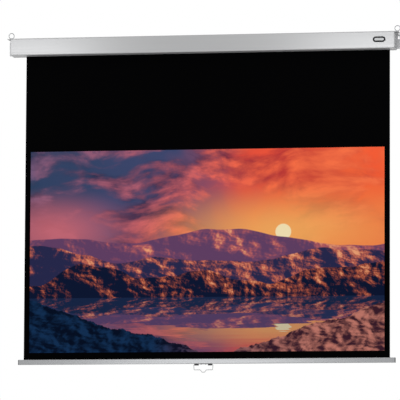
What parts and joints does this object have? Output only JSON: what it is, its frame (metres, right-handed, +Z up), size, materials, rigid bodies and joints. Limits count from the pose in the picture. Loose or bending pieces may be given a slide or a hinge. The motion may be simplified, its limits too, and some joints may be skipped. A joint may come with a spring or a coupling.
{
  "type": "pull down projector screen",
  "caption": "Wall or ceiling pull-down projection screen: metal case, spring roller with a pawl lock, black-masked sheet, weight bar and wire pull handle.",
  "frame": {"origin": "middle of the case's flat back, which lies against the wall", "axes": "+X along the case towards the idler end, +Y into the wall, +Z up; the screen faces -Y"},
  "size_m": [1.9686, 0.0919, 1.7012],
  "materials": {
    "case_silver": "satin silver-grey paint",
    "plate_silver": "satin silver-grey paint on folded steel",
    "zinc": "zinc plated",
    "steel": "plain steel",
    "wire": "bright plated wire",
    "bar_aluminium": "clear anodised, fine lengthwise grooves",
    "cap_black": "moulded black",
    "bracket_black": "black powder coat",
    "badge_black": "black, blank",
    "badge_silver": "brushed, blank",
    "nylon": "natural nylon",
    "acetal": "dark moulded plastic",
    "screen_cloth": "coated fibreglass cloth with a black mask",
    "spring_wire": "oiled spring wire"
  },
  "bodies": {
    "case": {"badge_frame": "badge_black", "badge_inlay": "badge_silver", "bracket_rivet_left_1": "zinc", "bracket_rivet_left_2": "zinc", "bracket_rivet_right_1": "zinc", "bracket_rivet_right_2": "zinc", "case_shell": "case_silver", "end_plate_left": "plate_silver", "end_plate_right": "plate_silver", "end_screw_left_1": "zinc", "end_screw_left_2": "zinc", "end_screw_left_3": "zinc", "end_screw_left_4": "zinc", "end_screw_right_1": "zinc", "end_screw_right_2": "zinc", "end_screw_right_3": "zinc", "end_screw_right_4": "zinc", "eye_bolt_left": "zinc", "eye_bolt_right": "zinc", "eye_nut_lower_left": "zinc", "eye_nut_lower_right": "zinc", "eye_nut_upper_left": "zinc", "eye_nut_upper_right": "zinc", "idler_block": "steel", "idler_bush": "nylon", "ratchet_wheel": "steel", "screen_sheet": "screen_cloth", "spindle": "steel", "spindle_socket": "steel", "spring_anchor": "acetal"},
    "roller": {"roller_tube": "steel", "wound_turns": "screen_cloth", "lock_plug": "acetal", "winding_spring": "spring_wire", "idler_plug": "acetal", "idler_pin": "steel", "pawl_pin_upper": "zinc", "pawl_pin_lower": "zinc"},
    "pawl_upper": {"pawl_upper": "steel"},
    "pawl_lower": {"pawl_lower": "steel"},
    "bar": {"bar_profile": "bar_aluminium", "bar_cap_left": "cap_black", "bar_cap_right": "cap_black", "hem_rod": "zinc", "hem_pocket": "screen_cloth", "handle_bracket": "bracket_black", "handle_screw_1": "zinc", "handle_screw_2": "zinc"},
    "bail": {"pull_bail": "wire"}
  },
  "joints": [
    {"name": "screen_slide", "type": "slide", "parent": "case", "child": "bar", "axis": [0, 0, 1], "range_m": [0, 1.51], "deforming": ["screen_sheet"]},
    {"name": "roller_spin", "type": "hinge", "parent": "case", "child": "roller", "pos_m": [0, -0.055, 0], "axis": [1, 0, 0], "range_deg": [0, 3200]},
    {"name": "pawl_upper_swing", "type": "hinge", "parent": "roller", "child": "pawl_upper", "pos_m": [-0.90505, -0.047, 0.0125], "axis": [1, 0, 0], "range_deg": [-35, 0]},
    {"name": "pawl_lower_swing", "type": "hinge", "parent": "roller", "child": "pawl_lower", "pos_m": [-0.90505, -0.063, -0.0125], "axis": [1, 0, 0], "range_deg": [0, 35]},
    {"name": "bail_swing", "type": "hinge", "parent": "bar", "child": "bail", "pos_m": [0.01005, -0.02965, -1.584], "axis": [1, 0, 0], "range_deg": [-85, 85]}
  ],
  "couplings": [
    {"joint": "roller_spin", "follows": "screen_slide", "rad_per_m": 36.95}
  ]
}
